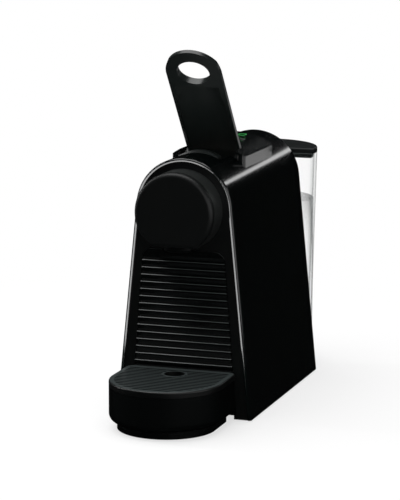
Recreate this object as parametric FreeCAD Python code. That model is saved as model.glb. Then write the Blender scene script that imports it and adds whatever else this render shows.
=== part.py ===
import FreeCAD, Part
import math
import os

from FreeCAD import Vector

# Pod coffee machine. Millimetres, +Z up, front towards -Y, origin under the middle of its box.
# Every "back" below is a distance behind the plane of the body's front edge.

# Body
BODY_WIDTH = 110.0
BODY_HEIGHT = 201.0
BODY_DEPTH = 185.5
ARCH_RADIUS = 38.5
SHELL_WALL = 2.5
SHELL_FOOT = 3.0
SHELL_SKIRT = 0.6
EDGE_ROUND = 1.8
TRAY_REACH = 81.5
TANK_REACH = 58.0
GAP = 0.4
SEAM = 0.3
RUN_FIT = 0.05

# Front panel and brew head
PANEL_THICK = 3.0
PANEL_SET_BACK = 0.9
HEAD_RADIUS = 31.25
HEAD_DROP = 0.8
HEAD_REACH = 25.0
HEAD_CAP = 5.5
HEAD_ROUND = 3.4
HEAD_SEAM = 0.8
HEAD_CUT = 26.0
HEAD_WALL = 4.0
OUTLET_HALF_X = 11.0
OUTLET_HALF_Y = 7.0
OUTLET_DROP = 4.2
OUTLET_BACK = -12.0
NOZZLE_PITCH = 9.0

# Lever, drawn closed and then opened by LEVER_SWING degrees
LEVER_SWING = 52.0
LEVER_HALF = 22.0
LEVER_REACH = 108.0
LEVER_BELOW = 5.6
LEVER_CROWN = 14.0
LEVER_EDGE = 8.9
LEVER_WALL = 2.0
LEVER_POCKET = 71.0
LEVER_TAIL = 70.0
LEVER_HOLE_X = 13.0
LEVER_HOLE_Y = 11.5
LEVER_RIM = 9.5
LEVER_TIP = 3.4
LEVER_THIN = 58.0
AXIS_BACK = 72.0
AXIS_DROP = 9.5
PIN_RADIUS = 3.0
BOSS_RADIUS = 5.3
CRANK_REACH = 35.4
CRANK_PIN = 2.0
CRANK_EYE = 4.4
YOKE_PLAY = 0.45

# Layers from the middle outwards, shared by lever, carriage and brew frame
CAPSULE_HALF = 18.75
ARM_THICK = 2.2
CRANK_THICK = 2.5
FRAME_THICK = 2.8
EAR_RADIUS = 4.4

# Control cover and buttons
COVER_BACK = 60.0
COVER_LENGTH = 75.0
COVER_HALF = 30.0
COVER_RISE = 4.5
COVER_CROWN = 50.0
COVER_WALL = 2.2
COVER_ROOF = 2.6
BUTTON_X = 11.0
BUTTON_BACK = 112.0
BUTTON_HALF_X = 7.0
BUTTON_HALF_Y = 11.0
BUTTON_PROUD = 0.8
BUTTON_TRAVEL = 1.5
BUTTON_FLANGE = 1.6
FLANGE_THICK = 1.2
SWITCH_HEIGHT = 1.1
STEM_RADIUS = 2.2
BOARD_THICK = 1.6

# Brew unit
SLOT_BACK = 33.0
PLATE_RADIUS = 18.4
CARRIAGE_BACK = 33.5
CARRIAGE_THICK = 6.5
PLATE_THICK = 3.5
PYRAMID = 1.4
PYRAMID_PITCH = 4.0
ARM_LENGTH = 32.5
SPOUT_RADIUS = 3.2
SPOUT_LENGTH = 36.0
VISOR_HALF = 16.0
VISOR_RISE = 1.3
VISOR_CROWN = 30.0
VISOR_LENGTH = 10.0
VISOR_LIFT = 0.5
CHAMBER_RADIUS = 18.0
CHAMBER_BORE = 15.2
CHAMBER_TAPER = 3.0
CHAMBER_BACK = 75.5
CHAMBER_DEPTH = 28.5
CHAMBER_FLANGE = 4.0
FUNNEL_HALF = 7.0

# Capsule container with the ribbed front
DOOR_DROP = 5.7
DOOR_BOTTOM = 4.0
DOOR_HALF_TOP = 32.65
DOOR_LEAN = 0.0769
DOOR_CORNER = 8.0
DOOR_THICK = 4.5
DOOR_PROUD = 0.3
RIB_PITCH = 5.65
RIB_DEPTH = 2.0
RIB_BAND = 1.0
RIB_LIP = 0.4
RIB_DROP = 4.4
RIB_COUNT = 16
BIN_HALF = 29.0
BIN_BACK = 105.0
BIN_FLOOR = 6.4
BIN_DROP = 11.0
BIN_WALL = 2.0

# Drip tray and grid
TRAY_HALF = 44.0
TRAY_CORNER = 7.0
TRAY_GAP = 1.2
TRAY_SOLE = 6.4
TRAY_TOP = 33.2
TRAY_WALL = 2.4
TRAY_FOOT_ROUND = 6.0
TRAY_FOOT_INSET = 6.2
SHELF_SOLE = 0.6
GRID_TOP = 38.0
GRID_RIM = 4.0
GRID_PITCH = 4.6
GRID_SLOT = 2.3
GRID_HOLE = 8.0
GRID_HOLE_BACK = -20.0
GRID_LIP = 3.0

# Water tank
TANK_HALF = 49.0
TANK_TAPER = 4.0
TANK_WALL = 2.2
TANK_GAP = 1.2
TANK_SOLE = 12.0
TANK_DROP = 19.0
LID_THICK = 4.3
LID_PLUG = 4.0
LID_SET_BACK = 3.2
LID_PIN = 1.2
LID_PIN_IN = 20.0
LID_PIN_OUT = 26.0
LEDGE_TOP = 11.4
VALVE_BACK = 16.0
VALVE_BORE = 4.0
VALVE_HEAD = 7.0
VALVE_LIFT = 3.8

# Inner units
PUMP_RADIUS = 19.0
PUMP_LENGTH = 60.0
PUMP_SOLE = 36.0
PUMP_BACK = 144.0
HOSE_RADIUS = 2.8
HEATER_BACK = 114.0
HEATER_DEPTH = 18.0
FOOT_RADIUS = 7.0
SCREW_RADIUS = 1.6
SCREW_HEAD = 3.0
SCREW_DROP = 29.0
GLAND_RADIUS = 6.0
GLAND_INSET = 21.0
GLAND_HEIGHT = 32.0

# Places worked out from the dimensions above
TOTAL_DEPTH = TRAY_REACH + BODY_DEPTH + TANK_REACH
FRONT = TRAY_REACH - TOTAL_DEPTH / 2
REAR = FRONT + BODY_DEPTH
TANK_END = REAR + TANK_REACH
ARCH_CENTRE = BODY_HEIGHT - ARCH_RADIUS
HALF_BASE = BODY_WIDTH / 2
LEAN = math.acos(ARCH_RADIUS / math.hypot(HALF_BASE, ARCH_CENTRE)) - math.atan2(ARCH_CENTRE, HALF_BASE)
HEAD_CENTRE = ARCH_CENTRE - HEAD_DROP
HEAD_CHORD = HEAD_CENTRE - HEAD_CUT
AXIS_HEIGHT = BODY_HEIGHT - AXIS_DROP
COVER_TOP = BODY_HEIGHT + COVER_RISE
VISOR_TOP = BODY_HEIGHT + VISOR_RISE
VISOR_SOLE = AXIS_HEIGHT + VISOR_LIFT
DOOR_TOP = HEAD_CHORD - DOOR_DROP
RIB_TOP = DOOR_TOP - RIB_DROP
BIN_TOP = DOOR_TOP - BIN_DROP
TANK_TOP = BODY_HEIGHT - TANK_DROP
AXIS = Vector(0, FRONT + AXIS_BACK, AXIS_HEIGHT)
SWING_HALF = math.radians(LEVER_SWING / 2)
ARM_IN = CAPSULE_HALF + GAP
ARM_OUT = ARM_IN + ARM_THICK
CRANK_IN = ARM_OUT + GAP
CRANK_OUT = CRANK_IN + CRANK_THICK
FRAME_IN = CRANK_OUT + GAP
FRAME_OUT = FRAME_IN + FRAME_THICK
PIN_Y = AXIS.y - CRANK_REACH * math.sin(SWING_HALF)
PIN_Z = AXIS.z - CRANK_REACH * math.cos(SWING_HALF)
PIN_LOW = AXIS.z - CRANK_REACH
RAIL_TOP = PIN_LOW - CRANK_EYE - 1.6
CHAMBER_END = FRONT + CHAMBER_BACK + CHAMBER_DEPTH
PANEL_FACE = FRONT + PANEL_SET_BACK
PANEL_INSIDE = PANEL_FACE + PANEL_THICK
BOARD_LOW = AXIS_HEIGHT + 1.0
FUNNEL_LOW = HEAD_CHORD + 0.5 + GAP
HOSE_HEIGHT = SHELL_FOOT + 6.1
VALVE_PLACE = Vector(0, REAR + VALVE_BACK, 0)
GLAND = Vector(GLAND_INSET - HALF_BASE, REAR - PANEL_THICK - PANEL_SET_BACK, GLAND_HEIGHT)
LID_AXIS_Y = REAR + TANK_GAP + LID_SET_BACK
LID_AXIS_Z = TANK_TOP + 0.1
PUMP_Y = FRONT + PUMP_BACK
HEATER_Y = FRONT + HEATER_BACK
X_AXIS = Vector(1, 0, 0)
Y_AXIS = Vector(0, 1, 0)
Z_AXIS = Vector(0, 0, 1)
ORIGIN = Vector(0, 0, 0)


def box(low_x, high_x, low_y, high_y, low_z, high_z):
    return Part.makeBox(high_x - low_x, high_y - low_y, high_z - low_z, Vector(low_x, low_y, low_z))


def pair(inner, outer, low_y, high_y, low_z, high_z):
    # The same block on the right and on the left
    right = box(inner, outer, low_y, high_y, low_z, high_z)
    left = box(-outer, -inner, low_y, high_y, low_z, high_z)
    return [right, left]


def rod(radius, start, direction, length):
    return Part.makeCylinder(radius, length, start, direction)


def side_rods(radius, inner, outer, y, z):
    right = rod(radius, Vector(inner, y, z), X_AXIS, outer - inner)
    left = rod(radius, Vector(-outer, y, z), X_AXIS, outer - inner)
    return [right, left]


def tube(radius, bore, start, direction, length):
    return rod(radius, start, direction, length).cut(rod(bore, start, direction, length))


def prism(points, push):
    return Part.Face(Part.makePolygon(points + points[:1])).extrude(push)


def rounded(shape, radius, wanted):
    return shape.makeFillet(radius, [edge for edge in shape.Edges if wanted(edge)])


def lies_at_y(edge, place):
    return all(abs(vertex.Y - place) < 1e-4 for vertex in edge.Vertexes) and edge.BoundBox.YLength < 0.01


def lies_at_z(edge, place):
    return all(abs(vertex.Z - place) < 1e-4 for vertex in edge.Vertexes) and edge.BoundBox.ZLength < 0.01


def joined(first, others):
    return first.fuse(others).removeSplitter()


def leg_half(inset, height):
    return (ARCH_RADIUS - inset + (ARCH_CENTRE - height) * math.sin(LEAN)) / math.cos(LEAN)


def arch_solid(inset, bottom, low_y, high_y):
    # A round top tangent to two leaning legs, pushed along Y
    radius = ARCH_RADIUS - inset
    touch_x = radius * math.cos(LEAN)
    touch_z = ARCH_CENTRE + radius * math.sin(LEAN)
    foot_x = leg_half(inset, bottom)
    left_foot = Vector(-foot_x, low_y, bottom)
    right_foot = Vector(foot_x, low_y, bottom)
    left_touch = Vector(-touch_x, low_y, touch_z)
    right_touch = Vector(touch_x, low_y, touch_z)
    crown = Vector(0, low_y, ARCH_CENTRE + radius)
    edges = [
        Part.makeLine(left_foot, right_foot),
        Part.makeLine(right_foot, right_touch),
        Part.Arc(right_touch, crown, left_touch).toShape(),
        Part.makeLine(left_touch, left_foot),
    ]
    return Part.Face(Part.Wire(edges)).extrude(Vector(0, high_y - low_y, 0))


def door_solid(grow, low_y, high_y):
    # Trapezoid with round top corners that follows the lean of the legs
    top = DOOR_TOP + grow
    bottom = DOOR_BOTTOM - grow
    half_top = DOOR_HALF_TOP + grow - DOOR_LEAN * grow
    half_bottom = half_top + DOOR_LEAN * (top - bottom)
    depth = high_y - low_y
    solid = prism([
        Vector(-half_bottom, low_y, bottom),
        Vector(half_bottom, low_y, bottom),
        Vector(half_top, low_y, top),
        Vector(-half_top, low_y, top),
    ], Vector(0, depth, 0))
    return rounded(
        solid, DOOR_CORNER + grow,
        lambda edge: edge.BoundBox.ZMin > top - 0.01 and edge.BoundBox.YLength > 0.9 * depth,
    )


def tray_solid(inset, bottom, top):
    # D-shaped plan: half circle in front, straight sides, round corners at the back
    half = TRAY_HALF - inset
    centre_y = FRONT - TRAY_REACH + TRAY_HALF
    back_y = FRONT - TRAY_GAP - inset
    height = top - bottom
    edges = [
        Part.Arc(
            Vector(-half, centre_y, bottom), Vector(0, centre_y - half, bottom), Vector(half, centre_y, bottom)
        ).toShape(),
        Part.makeLine(Vector(half, centre_y, bottom), Vector(half, back_y, bottom)),
        Part.makeLine(Vector(half, back_y, bottom), Vector(-half, back_y, bottom)),
        Part.makeLine(Vector(-half, back_y, bottom), Vector(-half, centre_y, bottom)),
    ]
    solid = Part.Face(Part.Wire(edges)).extrude(Vector(0, 0, height))
    return rounded(
        solid, max(TRAY_CORNER - inset, 0.8),
        lambda edge: edge.BoundBox.ZLength > 0.9 * height and edge.BoundBox.YMin > back_y - 0.01,
    )


def tank_wire(inset, height, front_y):
    # D-shaped plan of the tank, a little narrower towards its sole
    taper = TANK_TAPER * (TANK_TOP - height) / (TANK_TOP - TANK_SOLE)
    half = TANK_HALF - taper - inset
    centre_y = TANK_END - TANK_HALF
    edges = [
        Part.makeLine(Vector(-half, front_y, height), Vector(half, front_y, height)),
        Part.makeLine(Vector(half, front_y, height), Vector(half, centre_y, height)),
        Part.Arc(
            Vector(half, centre_y, height), Vector(0, centre_y + half, height), Vector(-half, centre_y, height)
        ).toShape(),
        Part.makeLine(Vector(-half, centre_y, height), Vector(-half, front_y, height)),
    ]
    return Part.Wire(edges)


def tank_solid(inset, bottom, top):
    front_y = REAR + TANK_GAP + inset
    return Part.makeLoft([tank_wire(inset, bottom, front_y), tank_wire(inset, top, front_y)], True, True)


def tank_slab(inset, front_y, low, high):
    slab = Part.Face(tank_wire(inset, TANK_TOP, front_y)).extrude(Vector(0, 0, high - low))
    slab.translate(Vector(0, 0, low - TANK_TOP))
    return slab


def oval(centre_x, centre_y, half_x, half_y, bottom, top):
    long_half, short_half = max(half_x, half_y), min(half_x, half_y)
    face = Part.Face(Part.Wire([Part.Ellipse(ORIGIN, long_half, short_half).toShape()]))
    if half_y > half_x:
        face.rotate(ORIGIN, Z_AXIS, 90)
    face.translate(Vector(centre_x, centre_y, bottom))
    return face.extrude(Vector(0, 0, top - bottom))


def opened(shape):
    shape.rotate(AXIS, X_AXIS, -LEVER_SWING)
    return shape


def hose(points, radius):
    # Straight runs joined by tangent arcs
    edges = []
    start = points[0]
    for before, corner, after in zip(points, points[1:], points[2:]):
        way_in = (before - corner).normalize()
        way_out = (after - corner).normalize()
        reach = 0.45 * min((before - corner).Length, (after - corner).Length)
        turn = way_in.getAngle(way_out)
        arc_radius = reach * math.tan(turn / 2)
        bisector = (way_in + way_out).normalize()
        middle = corner + bisector * (math.hypot(reach, arc_radius) - arc_radius)
        arc_start = corner + way_in * reach
        arc_end = corner + way_out * reach
        edges.append(Part.makeLine(start, arc_start))
        edges.append(Part.Arc(arc_start, middle, arc_end).toShape())
        start = arc_end
    edges.append(Part.makeLine(start, points[-1]))
    ring = Part.Wire([Part.makeCircle(radius, points[0], points[1] - points[0])])
    return Part.Wire(edges).makePipeShell([ring], True, False)


# Body

def make_outer_shell():
    outer = arch_solid(0, SHELL_SKIRT, FRONT, REAR)
    ends = lambda edge: lies_at_y(edge, FRONT) or lies_at_y(edge, REAR)
    outer = rounded(outer, EDGE_ROUND, lambda edge: ends(edge) and not lies_at_z(edge, SHELL_SKIRT))
    shell = outer.cut(arch_solid(SHELL_WALL, SHELL_SKIRT - 1, FRONT - 1, REAR + 1))
    capsule_slot = box(
        -CAPSULE_HALF, CAPSULE_HALF, FRONT + SLOT_BACK, FRONT + COVER_BACK + 1, ARCH_CENTRE, BODY_HEIGHT + 1)
    under_cover = box(
        -FRAME_OUT - GAP / 2, FRAME_OUT + GAP / 2, FRONT + COVER_BACK, FRONT + COVER_BACK + COVER_LENGTH - 1,
        ARCH_CENTRE, BODY_HEIGHT + 1)
    return shell.cut([capsule_slot, under_cover])


def make_front_panel():
    panel = arch_solid(SHELL_WALL + SEAM / 2, SHELL_SKIRT, PANEL_FACE, PANEL_INSIDE)
    door = door_solid(GAP, PANEL_FACE - 1, PANEL_INSIDE + 1)
    below_door = box(-HALF_BASE + 14, HALF_BASE - 14, PANEL_FACE - 1, PANEL_INSIDE + 1, 0, DOOR_BOTTOM + 1)
    head_hole = rod(HEAD_RADIUS - 6, Vector(0, PANEL_FACE - 1, HEAD_CENTRE), Y_AXIS, PANEL_THICK + 2)
    funnel_half = FUNNEL_HALF + GAP
    funnel_way = box(
        -funnel_half, funnel_half, PANEL_FACE - 1, PANEL_INSIDE + 1, FUNNEL_LOW - GAP, HEAD_CENTRE)
    return panel.cut([door, below_door, head_hole, funnel_way])


def make_rear_panel():
    low_y = REAR - PANEL_THICK - PANEL_SET_BACK
    high_y = REAR - PANEL_SET_BACK
    panel = arch_solid(SHELL_WALL + SEAM / 2, LEDGE_TOP + SEAM, low_y, high_y)
    cuts = [
        rod(GLAND_RADIUS, GLAND - Y_AXIS, Y_AXIS, PANEL_THICK + 2),
        rod(HOSE_RADIUS + GAP, Vector(0, low_y - 1, HOSE_HEIGHT), Y_AXIS, PANEL_THICK + 2),
    ]
    for row in range(8):
        height = 70 + row * 8
        cuts.append(box(-15, 15, low_y - 1, high_y + 1, height, height + 3))
    return panel.cut(cuts)


def make_base_plate():
    half = leg_half(SHELL_WALL, SHELL_FOOT + 2.5) - SEAM
    floor = box(-half, half, PANEL_INSIDE + GAP, REAR, SHELL_FOOT, SHELL_FOOT + 2.5)
    ledge = tank_slab(TANK_TAPER, REAR - PANEL_SET_BACK - PANEL_THICK, SHELL_FOOT, LEDGE_TOP)
    runners = pair(BIN_HALF + GAP, BIN_HALF + GAP + 2, PANEL_INSIDE + GAP, FRONT + BIN_BACK, SHELL_FOOT, SHELL_FOOT + 9)
    base = joined(floor, [ledge] + runners)
    room = HOSE_RADIUS + GAP
    channel = box(-room, room, REAR - PANEL_THICK - 6, VALVE_PLACE.y, SHELL_FOOT + 2.5, LEDGE_TOP + 1)
    well = rod(8 + GAP, VALVE_PLACE + Z_AXIS * (SHELL_FOOT + 2.5), Z_AXIS, 20)
    return base.cut([channel, well])


def make_feet():
    spots = [(40, FRONT + 22), (40, REAR - 18), (22, TANK_END - 20)]
    feet = []
    for x, y in spots:
        for side in (-1, 1):
            feet.append(Part.makeCone(FOOT_RADIUS - 1, FOOT_RADIUS, SHELL_FOOT, Vector(side * x, y, 0)))
    return Part.makeCompound(feet)


def make_cord_gland():
    sleeve = rod(GLAND_RADIUS, GLAND, Y_AXIS, PANEL_THICK)
    flange = rod(GLAND_RADIUS + 2, GLAND - Y_AXIS * 3, Y_AXIS, 3)
    bore = rod(GLAND_RADIUS / 2, GLAND - Y_AXIS * 4, Y_AXIS, PANEL_THICK + 6)
    return joined(sleeve, [flange]).cut(bore)


def make_casing_screws():
    screws = []
    for x, z in ((26, BODY_HEIGHT - SCREW_DROP), (40, 60)):
        for side in (-1, 1):
            head = Vector(side * x, REAR - PANEL_SET_BACK, z)
            screws.append(rod(SCREW_HEAD, head, Y_AXIS, 0.7))
    return Part.makeCompound(screws)


# Control cover and buttons

def crown_at(x, lower=0.0):
    return COVER_TOP - COVER_CROWN + math.sqrt((COVER_CROWN - lower) ** 2 - x ** 2)


def make_control_cover():
    low_y = FRONT + COVER_BACK
    high_y = low_y + COVER_LENGTH
    crown_centre = Vector(0, low_y - 1, COVER_TOP - COVER_CROWN)
    crown = rod(COVER_CROWN, crown_centre, Y_AXIS, COVER_LENGTH + 2)
    block = box(-COVER_HALF, COVER_HALF, low_y, high_y, ARCH_CENTRE, COVER_TOP + 1).common(crown)
    upright = lambda edge: edge.BoundBox.ZLength > 20 and edge.BoundBox.YLength < 0.01
    block = rounded(block, 2.0, upright)
    roof = rod(COVER_CROWN - COVER_ROOF, crown_centre, Y_AXIS, COVER_LENGTH + 2)
    inside = COVER_HALF - COVER_WALL
    hollow = box(-inside, inside, low_y + 2, high_y - 2, ARCH_CENTRE, COVER_TOP).common(roof)
    notch_half = LEVER_HALF + GAP
    notch_end = AXIS.y + 9.4
    notch = box(-notch_half, notch_half, low_y - 1, notch_end, ARCH_CENTRE, COVER_TOP + 1)
    hub_room = box(-CRANK_OUT - GAP, CRANK_OUT + GAP, low_y - 1, notch_end, ARCH_CENTRE, AXIS.z + BOSS_RADIUS + GAP)
    ear = EAR_RADIUS + SEAM
    ear_rooms = pair(
        FRAME_IN - GAP, FRAME_OUT + GAP, AXIS.y - ear, AXIS.y + ear, ARCH_CENTRE, AXIS.z + ear)
    wells = []
    for side in (-1, 1):
        wells.append(oval(
            side * BUTTON_X, FRONT + BUTTON_BACK, BUTTON_HALF_X + SEAM, BUTTON_HALF_Y + SEAM, AXIS.z, COVER_TOP + 1))
    body = arch_solid(0, ARCH_CENTRE - 20, FRONT, REAR)
    return block.cut([hollow, notch, hub_room, body] + ear_rooms + wells)


def make_button(side):
    x = side * BUTTON_X
    y = FRONT + BUTTON_BACK
    roof_low = crown_at(BUTTON_X + BUTTON_HALF_X + BUTTON_FLANGE, COVER_ROOF) - SEAM
    top = crown_at(BUTTON_X) + BUTTON_PROUD
    flange_low = roof_low - 0.2 - FLANGE_THICK
    cap = oval(x, y, BUTTON_HALF_X, BUTTON_HALF_Y, flange_low, top + 4)
    skin = rod(COVER_CROWN + BUTTON_PROUD, Vector(0, y - 20, COVER_TOP - COVER_CROWN), Y_AXIS, 40)
    flange_y = BUTTON_HALF_Y + BUTTON_FLANGE
    flange = oval(x, y, BUTTON_HALF_X + BUTTON_FLANGE, flange_y, flange_low, roof_low - 0.2)
    stem_low = BOARD_LOW + BOARD_THICK + BUTTON_TRAVEL + GAP
    stem = rod(STEM_RADIUS, Vector(x, y, stem_low), Z_AXIS, roof_low - 1 - stem_low)
    return joined(cap.common(skin), [flange, stem])


def make_button_board():
    y = FRONT + BUTTON_BACK
    board = box(-24, 24, y - 15, y + 15, BOARD_LOW, BOARD_LOW + BOARD_THICK)
    return board.cut([rod(1.6, Vector(x, y + 12, BOARD_LOW), Z_AXIS, 3) for x in (-21, 21)])


def make_button_switches():
    y = FRONT + BUTTON_BACK
    low = BOARD_LOW + BOARD_THICK
    switches = []
    for side in (-1, 1):
        x = side * BUTTON_X
        frame = box(x - 4, x + 4, y - 4, y + 4, low, low + SWITCH_HEIGHT)
        recess = rod(STEM_RADIUS + GAP, Vector(x, y, low), Z_AXIS, 3)
        switches.append(frame.cut(recess))
    return Part.makeCompound(switches)


# Brew head on the front panel

def head_disc(radius, low_y, high_y):
    disc = rod(radius, Vector(0, low_y, HEAD_CENTRE), Y_AXIS, high_y - low_y)
    return disc.cut(box(-radius, radius, low_y, high_y, HEAD_CENTRE - radius - 1, HEAD_CHORD))


def make_head_drum():
    low_y = FRONT - HEAD_REACH + HEAD_CAP + HEAD_SEAM
    drum = head_disc(HEAD_RADIUS, low_y, PANEL_FACE)
    neck = head_disc(HEAD_RADIUS - 1.2, low_y - HEAD_SEAM, low_y)
    spigot = rod(HEAD_RADIUS - 6 - SEAM, Vector(0, PANEL_FACE - 1, HEAD_CENTRE), Y_AXIS, PANEL_THICK + 1)
    hollow = rod(HEAD_RADIUS - 6 - HEAD_WALL, Vector(0, low_y + 2, HEAD_CENTRE), Y_AXIS, HEAD_REACH + 8)
    room = FUNNEL_HALF + GAP
    trough = box(-room, room, FRONT + OUTLET_BACK - 6 - GAP, PANEL_INSIDE + 1, HEAD_CHORD + 0.5, HEAD_CENTRE)
    drain = oval(0, FRONT + OUTLET_BACK, OUTLET_HALF_X - 3, 2.6, HEAD_CHORD - 1, HEAD_CENTRE)
    return joined(drum, [neck, spigot]).cut([hollow, trough, drain])


def make_head_cap():
    low_y = FRONT - HEAD_REACH
    cap = head_disc(HEAD_RADIUS, low_y, low_y + HEAD_CAP)
    return rounded(cap, HEAD_ROUND, lambda edge: lies_at_y(edge, low_y))


def make_outlet():
    y = FRONT + OUTLET_BACK
    low = HEAD_CHORD - OUTLET_DROP
    body = oval(0, y, OUTLET_HALF_X, OUTLET_HALF_Y, low, HEAD_CHORD)
    body = rounded(body, 1.6, lambda edge: lies_at_z(edge, low))
    basin = oval(0, y, OUTLET_HALF_X - 3, 2.6, low + 1.6, HEAD_CHORD + 1)
    bores = [rod(1.7, Vector(side * NOZZLE_PITCH / 2, y, low - 1), Z_AXIS, 5) for side in (-1, 1)]
    return body.cut([basin] + bores)


def make_nozzles():
    low = HEAD_CHORD - OUTLET_DROP - 0.5
    y = FRONT + OUTLET_BACK
    return Part.makeCompound(
        [tube(1.7, 1.0, Vector(side * NOZZLE_PITCH / 2, y, low), Z_AXIS, 2.0) for side in (-1, 1)])


def make_coffee_funnel():
    low_y = FRONT + OUTLET_BACK - 6
    high_y = FRONT + CARRIAGE_BACK - 2
    low = FUNNEL_LOW
    trough = box(-FUNNEL_HALF, FUNNEL_HALF, low_y, high_y, low, low + 8)
    channel = prism([
        Vector(-FUNNEL_HALF + 1.6, low_y + 1.6, low + 1.6),
        Vector(-FUNNEL_HALF + 1.6, high_y - 1.6, low + 4.0),
        Vector(-FUNNEL_HALF + 1.6, high_y - 1.6, low + 9.0),
        Vector(-FUNNEL_HALF + 1.6, low_y + 1.6, low + 9.0),
    ], Vector(2 * FUNNEL_HALF - 3.2, 0, 0))
    drain = rod(2.6, Vector(0, FRONT + OUTLET_BACK, low - 1), Z_AXIS, 5)
    return trough.cut([channel, drain])


# Lever

def lever_section(crown, edge, half, low, y):
    # Arched strip across the lever, heights counted from the hinge axis
    left_low = Vector(-half, y, AXIS.z + low)
    left_high = Vector(-half, y, AXIS.z + edge)
    right_high = Vector(half, y, AXIS.z + edge)
    right_low = Vector(half, y, AXIS.z + low)
    edges = [
        Part.makeLine(left_low, left_high),
        Part.Arc(left_high, Vector(0, y, AXIS.z + crown), right_high).toShape(),
        Part.makeLine(right_high, right_low),
        Part.makeLine(right_low, left_low),
    ]
    return Part.Face(Part.Wire(edges))


def lever_plan(inset, far):
    # Outline of the lever seen from above, with its round end
    half = LEVER_HALF - inset
    low = AXIS.z - 10
    centre_y = AXIS.y - far + half
    edges = [
        Part.makeLine(Vector(half, AXIS.y + 1, low), Vector(-half, AXIS.y + 1, low)),
        Part.makeLine(Vector(-half, AXIS.y + 1, low), Vector(-half, centre_y, low)),
        Part.Arc(Vector(-half, centre_y, low), Vector(0, centre_y - half, low), Vector(half, centre_y, low)).toShape(),
        Part.makeLine(Vector(half, centre_y, low), Vector(half, AXIS.y + 1, low)),
    ]
    return Part.Face(Part.Wire(edges)).extrude(Vector(0, 0, 40))


def make_lever_handle():
    crown_in = LEVER_CROWN - LEVER_WALL
    edge_in = LEVER_EDGE - LEVER_WALL + 0.1
    half_in = LEVER_HALF - LEVER_WALL
    beam = lever_section(LEVER_CROWN, LEVER_EDGE, LEVER_HALF, LEVER_BELOW, AXIS.y)
    arm = beam.extrude(Vector(0, -LEVER_REACH, 0)).common(lever_plan(0, LEVER_REACH))
    trough = lever_section(crown_in, edge_in, half_in, LEVER_BELOW - 2, AXIS.y)
    pocket = trough.extrude(Vector(0, -LEVER_POCKET, 0)).common(lever_plan(LEVER_WALL, LEVER_POCKET))
    hole_y = AXIS.y - LEVER_REACH + LEVER_RIM + LEVER_HOLE_Y
    hole = oval(0, hole_y, LEVER_HOLE_X, LEVER_HOLE_Y, AXIS.z, AXIS.z + LEVER_CROWN + 1)
    tip_y = AXIS.y - LEVER_REACH
    tip_z = AXIS.z + LEVER_BELOW + LEVER_TIP
    thinning = prism([
        Vector(-LEVER_HALF, tip_y, tip_z),
        Vector(-LEVER_HALF, tip_y + LEVER_THIN, AXIS.z + LEVER_CROWN),
        Vector(-LEVER_HALF, tip_y + LEVER_THIN, AXIS.z + LEVER_CROWN + 10),
        Vector(-LEVER_HALF, tip_y, AXIS.z + LEVER_CROWN + 10),
    ], Vector(2 * LEVER_HALF, 0, 0))
    # Room for the arched body under the closed lever
    relief = arch_solid(-GAP, ARCH_CENTRE, FRONT - GAP, AXIS.y)
    arm = arm.cut([pocket, hole, thinning, relief])
    tail_out = lever_section(LEVER_CROWN, LEVER_EDGE, LEVER_HALF, 0.5, AXIS.y)
    tail_in = lever_section(crown_in, edge_in, LEVER_HALF + 1, 0.2, AXIS.y)
    tail = tail_out.revolve(AXIS, X_AXIS, -LEVER_TAIL).cut(tail_in.revolve(AXIS, X_AXIS, -LEVER_TAIL - 5))
    cheeks = []
    for side in (-1, 1):
        low_x, high_x = sorted((side * (ARM_IN + GAP), side * CRANK_IN))
        boss = rod(BOSS_RADIUS, Vector(low_x, AXIS.y, AXIS.z), X_AXIS, high_x - low_x)
        web = box(low_x, high_x, AXIS.y - BOSS_RADIUS, AXIS.y + BOSS_RADIUS - 1, AXIS.z, AXIS.z + LEVER_BELOW + 1.6)
        cheeks.append(boss.fuse(web))
    bores = side_rods(PIN_RADIUS, ARM_IN - 1, CRANK_IN + 1, AXIS.y, AXIS.z)
    return opened(joined(arm, [tail] + cheeks).cut(bores))


def make_lever_cranks():
    # Steel arms below the hinge, drawn as they stand with the lever open
    cranks = []
    foot = Vector(0, PIN_Y, PIN_Z)
    way = (foot - AXIS).normalize()
    across = Vector(0, way.z, -way.y)
    for side in (-1, 1):
        low_x = CRANK_IN if side > 0 else -CRANK_OUT
        shift = Vector(low_x, 0, 0)
        web = prism([
            AXIS + across * (BOSS_RADIUS - 0.6) + shift,
            foot + across * (CRANK_EYE - 0.4) + shift,
            foot - across * (CRANK_EYE - 0.4) + shift,
            AXIS - across * (BOSS_RADIUS - 0.6) + shift,
        ], Vector(CRANK_THICK, 0, 0))
        hub = rod(BOSS_RADIUS, AXIS + shift, X_AXIS, CRANK_THICK)
        eye = rod(CRANK_EYE, foot + shift, X_AXIS, CRANK_THICK)
        bores = [
            rod(PIN_RADIUS, AXIS + shift - X_AXIS, X_AXIS, CRANK_THICK + 2),
            rod(CRANK_PIN, foot + shift - X_AXIS, X_AXIS, CRANK_THICK + 2),
        ]
        cranks.append(joined(web, [hub, eye]).cut(bores))
    return Part.makeCompound(cranks)


def make_hinge_pins():
    return Part.makeCompound(side_rods(PIN_RADIUS, ARM_IN + GAP, FRAME_OUT, AXIS.y, AXIS.z))


def make_crank_pins():
    return Part.makeCompound(side_rods(CRANK_PIN, ARM_IN - 0.1, CRANK_OUT, PIN_Y, PIN_Z))


# Brew unit

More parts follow.
